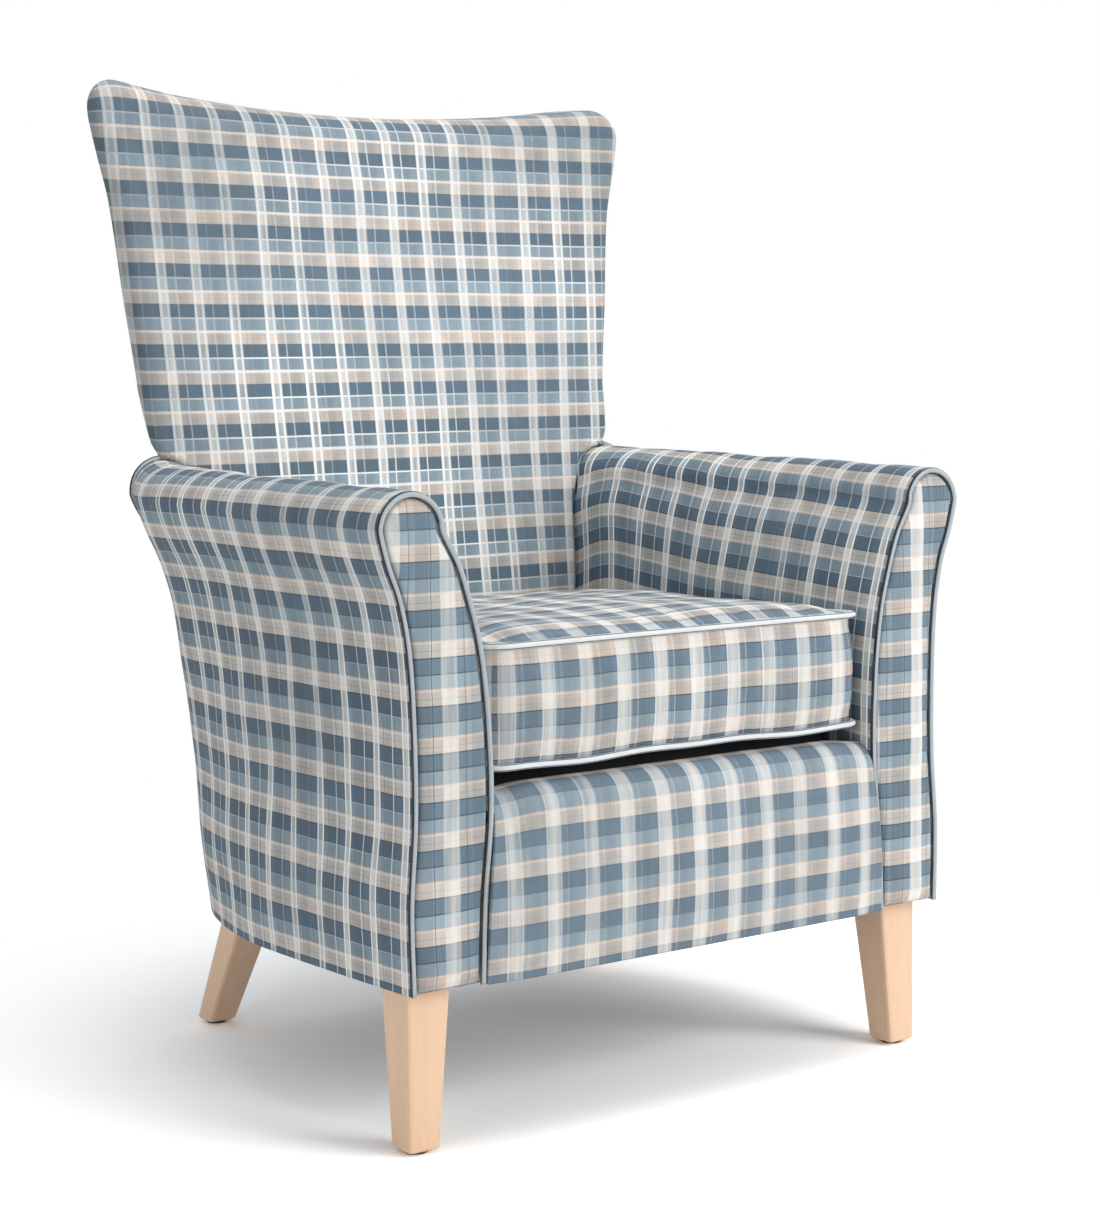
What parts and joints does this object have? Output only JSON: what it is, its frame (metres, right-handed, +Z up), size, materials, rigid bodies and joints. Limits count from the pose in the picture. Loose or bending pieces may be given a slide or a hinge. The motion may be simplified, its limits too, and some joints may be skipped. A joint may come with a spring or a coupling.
{
  "type": "fireside chair",
  "caption": "Upholstered fireside chair with a high back, padded arms, loose box cushion and splayed timber legs.",
  "frame": {"origin": "on the floor under the middle of the chair, halfway between its front and its rear", "axes": "+Z up, the front faces -Y, +X to the right of someone looking at the chair along +Y"},
  "size_m": [0.7714, 0.7034, 1.1002],
  "materials": {
    "leg_wood": "satin pale beech",
    "glide_plastic": "matt black",
    "fastener_steel": "zinc plated",
    "clip_plastic": "matt black",
    "spring_steel": "drawn wire",
    "frame_wood": "sawn beech",
    "webbing": "woven",
    "black_cloth": "matt black woven",
    "foam": "open-cell foam",
    "plaid_cloth": "soft woven check in blue-grey, cream and beige",
    "dark_piping": "dark piping",
    "pale_piping": "cream piping",
    "zip_tape": "woven tape",
    "zip_metal": "satin"
  },
  "bodies": {
    "chair": {"front_leg_left": "leg_wood", "front_leg_right": "leg_wood", "rear_leg_left": "leg_wood", "rear_leg_right": "leg_wood", "leg_glides": "glide_plastic", "leg_bolts": "fastener_steel", "leg_nuts": "fastener_steel", "leg_blocks": "frame_wood", "seat_front_rail": "frame_wood", "seat_back_rail": "frame_wood", "seat_side_rails": "frame_wood", "arm_post_left": "frame_wood", "arm_post_right": "frame_wood", "arm_rear_post_left": "frame_wood", "arm_rear_post_right": "frame_wood", "arm_top_rail_left": "frame_wood", "arm_top_rail_right": "frame_wood", "arm_tack_rail_left": "frame_wood", "arm_tack_rail_right": "frame_wood", "back_upright_left": "frame_wood", "back_upright_right": "frame_wood", "crest_rail": "frame_wood", "lumbar_rail": "frame_wood", "rail_dowels": "frame_wood", "seat_springs": "spring_steel", "spring_clips": "clip_plastic", "spring_cover": "webbing", "platform_pad": "foam", "platform_cloth": "black_cloth", "front_border_foam": "foam", "front_border_cover": "plaid_cloth", "arm_foam_left": "foam", "arm_foam_right": "foam", "arm_cover_left": "plaid_cloth", "arm_cover_right": "plaid_cloth", "arm_facing_left": "plaid_cloth", "arm_facing_right": "plaid_cloth", "facing_piping_left": "dark_piping", "facing_piping_right": "dark_piping", "back_webbing": "webbing", "back_foam": "foam", "inside_back_cover": "plaid_cloth", "outside_back_cover": "plaid_cloth", "dust_cover": "black_cloth"},
    "cushion": {"cushion_foam": "foam", "cushion_top": "plaid_cloth", "cushion_bottom": "plaid_cloth", "cushion_border": "plaid_cloth", "cushion_piping_top": "pale_piping", "cushion_piping_bottom": "pale_piping", "cushion_zip": "zip_tape"},
    "zip_slider": {"zip_slider": "zip_metal"}
  },
  "joints": [
    {"name": "cushion_lift", "type": "slide", "parent": "chair", "child": "cushion", "axis": [0, 0, 1], "range_m": [0, 0.32]},
    {"name": "zip_pull", "type": "slide", "parent": "cushion", "child": "zip_slider", "axis": [-1, 0, 0], "range_m": [0, 0.38]}
  ]
}
